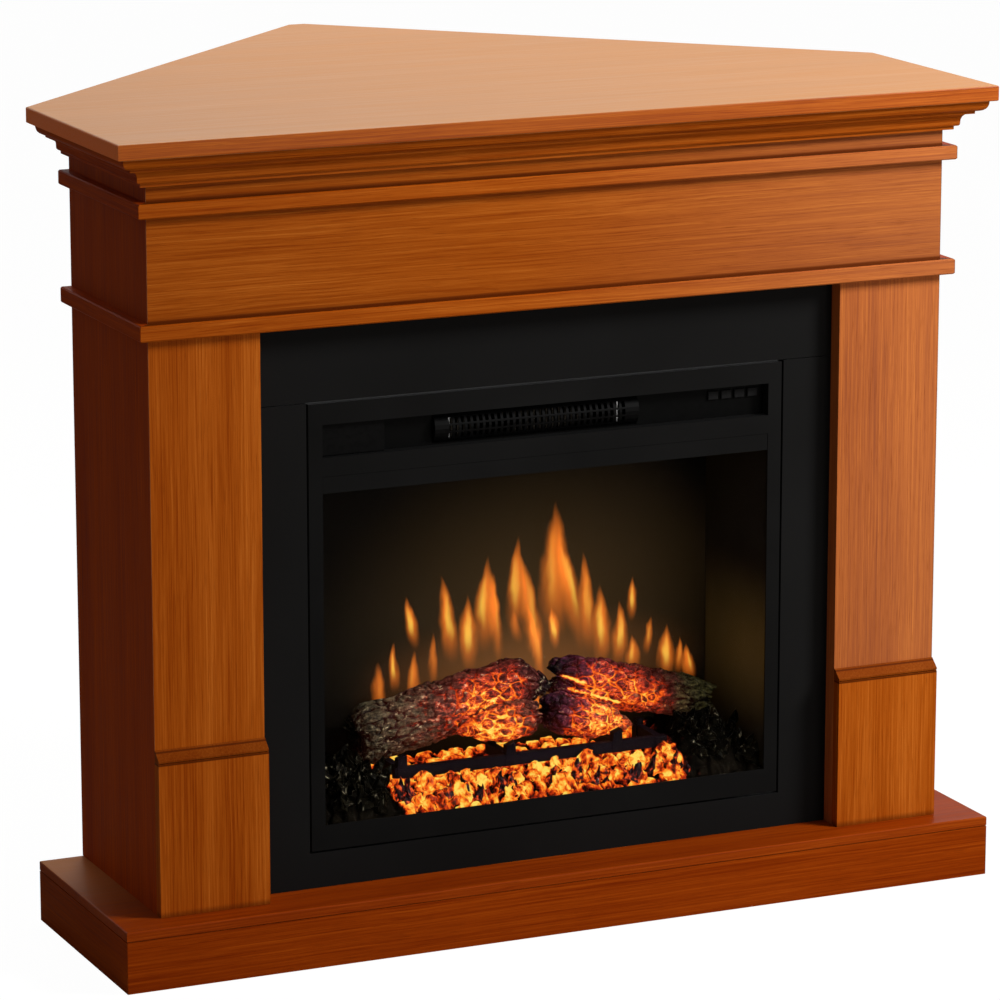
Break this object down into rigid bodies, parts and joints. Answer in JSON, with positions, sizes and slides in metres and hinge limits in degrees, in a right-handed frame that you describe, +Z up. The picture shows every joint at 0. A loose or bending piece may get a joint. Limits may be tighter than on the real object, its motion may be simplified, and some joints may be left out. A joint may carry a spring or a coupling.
{
  "type": "corner electric fireplace",
  "caption": "Veneered mantel with a corner-shaped top board round a black-framed electric fire with glowing logs, embers, a flame screen and a hidden fan heater.",
  "frame": {"origin": "on the floor, under the centre of the whole piece seen from above", "axes": "+Z up; the front with the fire faces -Y; the corner of the top board points to +Y; +X is the right-hand side seen from the front"},
  "size_m": [1.092, 0.833, 0.953],
  "materials": {
    "veneer": "satin lacquered wood veneer, warm orange brown",
    "top_veneer": "satin lacquered wood veneer, lighter where the light falls on it",
    "raw_board": "uncoated softwood and board",
    "black_board": "board painted satin black",
    "black_steel": "satin black powder coat",
    "case_steel": "matt black painted sheet steel",
    "window_glass": "clear flat glass",
    "black_plastic": "black moulded plastic",
    "galvanised": "galvanised sheet steel",
    "element_metal": "heat-stained finned aluminium",
    "motor_steel": "grey plated steel",
    "mirror_foil": "reflective foil",
    "screen_acrylic": "smoked translucent acrylic with the lit flame picture",
    "circuit_board": "green circuit board",
    "ember_resin": "translucent moulded resin lit from below",
    "log_resin": "painted resin bark with a glowing underside",
    "cast_iron": "black cast iron",
    "gland_rubber": "black rubber"
  },
  "bodies": {
    "root": {"top_panel": "top_veneer", "crown_moulding_front": "veneer", "crown_moulding_left": "veneer", "crown_moulding_right": "veneer", "frieze_board": "veneer", "upper_band_front": "veneer", "upper_band_left": "veneer", "upper_band_right": "veneer", "lower_band_front": "veneer", "lower_band_left": "veneer", "lower_band_right": "veneer", "side_panel_left": "veneer", "side_panel_right": "veneer", "pilaster_left": "veneer", "pilaster_right": "veneer", "pilaster_foot_left": "veneer", "pilaster_foot_right": "veneer", "base_board": "veneer", "base_front_rail": "veneer", "base_left_rail": "veneer", "base_right_rail": "veneer", "base_back_rail": "raw_board", "rear_top_rail": "raw_board", "corner_batten_left": "raw_board", "corner_batten_right": "raw_board", "case_bearer_left": "raw_board", "case_bearer_right": "raw_board", "surround_header": "black_board", "surround_panel": "black_board", "insert_front_frame": "black_steel", "glass_trim": "black_steel", "window_glass": "window_glass", "case_wrapper": "case_steel", "case_lid": "case_steel", "case_back": "case_steel", "firebox_ceiling": "case_steel", "cord_gland": "gland_rubber", "control_fascia": "black_plastic", "display_cover": "black_plastic", "control_board": "circuit_board", "heater_grille": "black_plastic", "heater_element": "element_metal", "blower_housing": "galvanised", "blower_motor": "motor_steel", "flame_screen": "screen_acrylic", "flicker_motor": "motor_steel", "led_board": "circuit_board", "ember_bed": "ember_resin", "grate": "cast_iron", "log_back_left": "log_resin", "log_back_right": "log_resin", "log_front_left": "log_resin", "log_front_right": "log_resin"},
    "button_1": {"control_button_1": "black_plastic"},
    "button_2": {"control_button_2": "black_plastic"},
    "button_3": {"control_button_3": "black_plastic"},
    "button_4": {"control_button_4": "black_plastic"},
    "rotor": {"blower_rotor": "galvanised"},
    "mirror_rod": {"flicker_rod": "mirror_foil"}
  },
  "joints": [
    {"name": "button_1_press", "type": "slide", "parent": "root", "child": "button_1", "axis": [0, 1, 0], "range_m": [0, 0.0015], "stiffness_N_per_m": 400},
    {"name": "button_2_press", "type": "slide", "parent": "root", "child": "button_2", "axis": [0, 1, 0], "range_m": [0, 0.0015], "stiffness_N_per_m": 400},
    {"name": "button_3_press", "type": "slide", "parent": "root", "child": "button_3", "axis": [0, 1, 0], "range_m": [0, 0.0015], "stiffness_N_per_m": 400},
    {"name": "button_4_press", "type": "slide", "parent": "root", "child": "button_4", "axis": [0, 1, 0], "range_m": [0, 0.0015], "stiffness_N_per_m": 400},
    {"name": "fan_spin", "type": "hinge", "parent": "root", "child": "rotor", "pos_m": [-0.012, -0.2572, 0.592], "axis": [1, 0, 0], "continuous": true},
    {"name": "mirror_rod_spin", "type": "hinge", "parent": "root", "child": "mirror_rod", "pos_m": [0, -0.1612, 0.2005], "axis": [1, 0, 0], "continuous": true}
  ]
}
